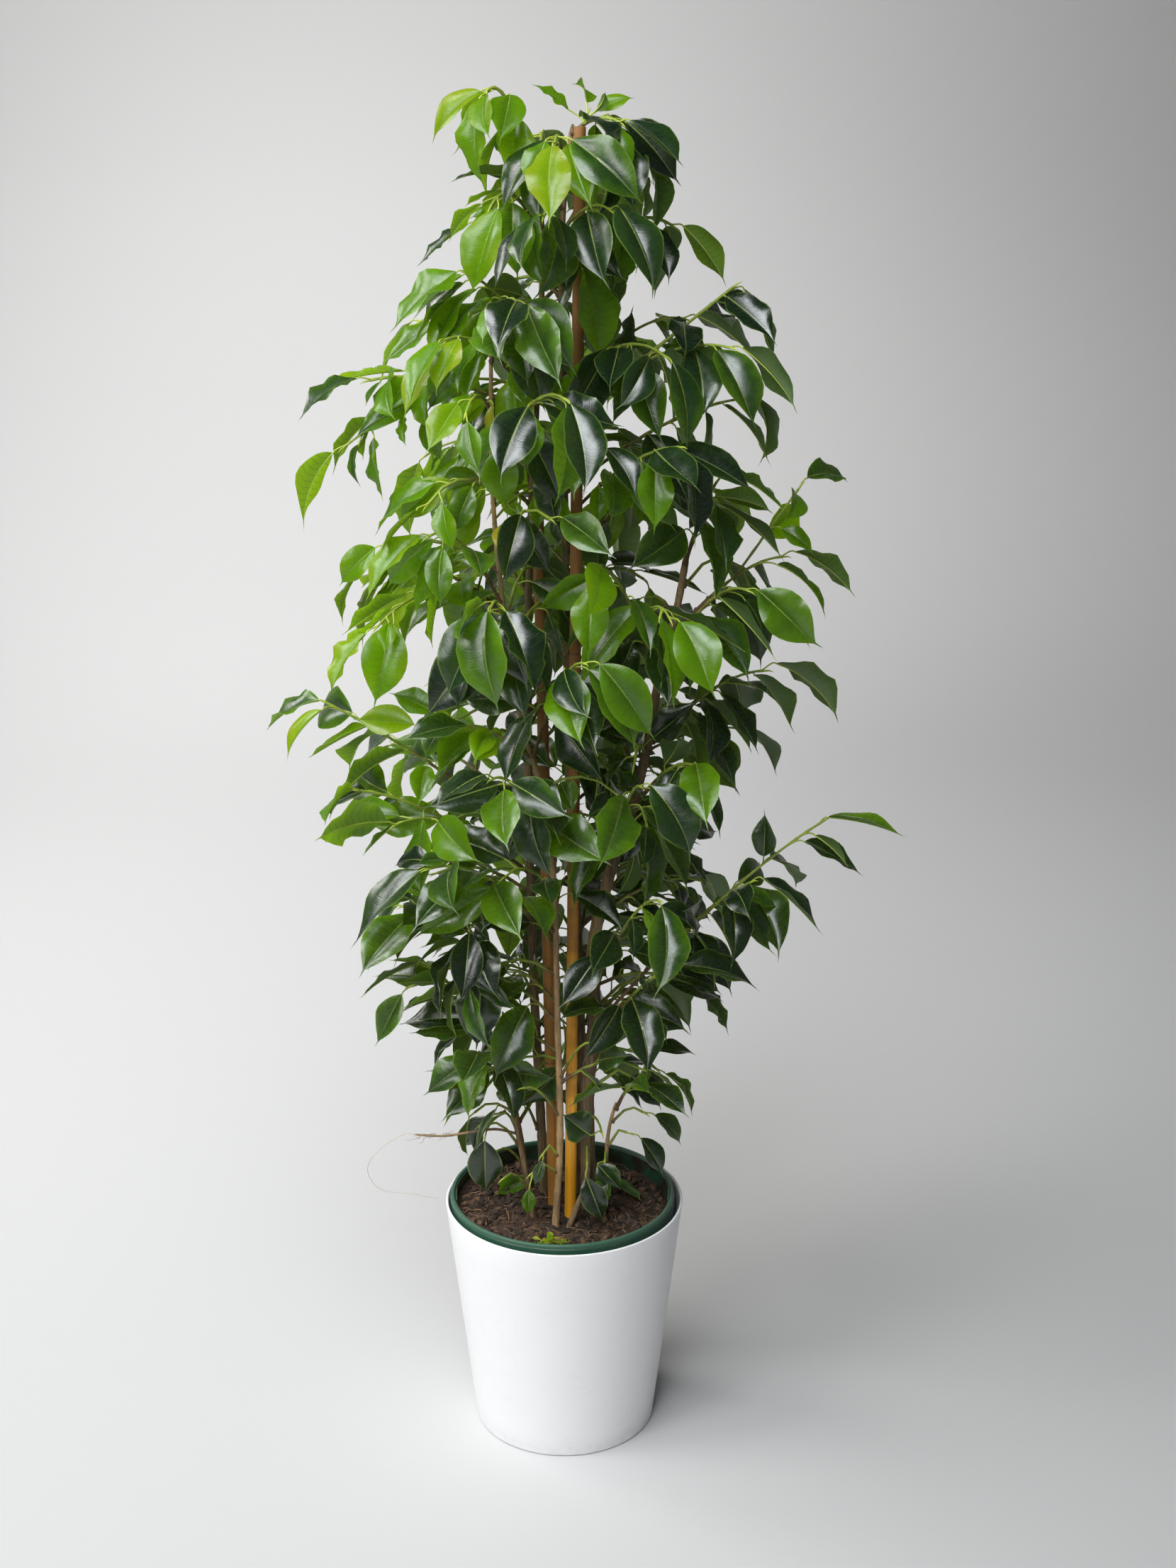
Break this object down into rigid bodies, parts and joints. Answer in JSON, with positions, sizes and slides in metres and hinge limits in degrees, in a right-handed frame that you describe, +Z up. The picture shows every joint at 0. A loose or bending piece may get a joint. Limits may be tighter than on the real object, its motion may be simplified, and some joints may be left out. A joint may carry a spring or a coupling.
{
  "type": "potted weeping fig",
  "caption": "Tall potted weeping fig: arching leafy shoots on several thin stems and two bamboo canes, in a nursery pot inside a plain white cover pot.",
  "frame": {"origin": "centre of the cover pot's flat underside", "axes": "+Z up along the stems; -Y is the side the picture shows, +X is to its right"},
  "size_m": [0.6843, 0.5327, 1.4959],
  "materials": {
    "white_pot": "satin",
    "green_pot": "satin",
    "potting_soil": "matte",
    "bamboo": "satin",
    "bark": "matte",
    "leaf": "satin"
  },
  "bodies": {
    "root": {"cane_front": "bamboo", "cane_left": "bamboo", "cover_pot": "white_pot", "grow_pot": "green_pot", "soil": "potting_soil", "spray_back_low": "leaf", "spray_back_low_left": "leaf", "spray_back_low_right": "leaf", "spray_back_mid": "leaf", "spray_back_mid_left": "leaf", "spray_back_mid_right": "leaf", "spray_back_top": "leaf", "spray_back_top_low": "leaf", "spray_back_upper": "leaf", "spray_back_upper_left": "leaf", "spray_back_upper_right": "leaf", "spray_centre_low": "leaf", "spray_centre_right": "leaf", "spray_crown_front": "leaf", "spray_far_right": "leaf", "spray_far_right_low": "leaf", "spray_front_left_dark": "leaf", "spray_front_low_mid": "leaf", "spray_front_mid": "leaf", "spray_front_right": "leaf", "spray_front_upper": "leaf", "spray_left_front_low": "leaf", "spray_left_glossy": "leaf", "spray_left_tip": "leaf", "spray_left_wide": "leaf", "spray_low_back_left": "leaf", "spray_low_left": "leaf", "spray_low_right": "leaf", "spray_mid_left": "leaf", "spray_mid_left_front": "leaf", "spray_mid_right": "leaf", "spray_right_crown": "leaf", "spray_right_edge": "leaf", "spray_right_long": "leaf", "spray_right_low": "leaf", "spray_right_low_inner": "leaf", "spray_top_apex": "leaf", "spray_top_front": "leaf", "spray_top_front_low": "leaf", "spray_top_left": "leaf", "spray_top_left_low": "leaf", "spray_top_right": "leaf", "spray_top_right_low": "leaf", "spray_upper_front_right": "leaf", "spray_upper_left": "leaf", "spray_upper_left_arch": "leaf", "spray_upper_left_front": "leaf", "spray_upper_right": "leaf", "stem_centre": "bark", "stem_front": "bark", "stem_left": "bark", "stem_low_back": "bark", "stem_low_left": "bark", "stem_low_right": "bark", "stem_right": "bark"}
  },
  "joints": []
}
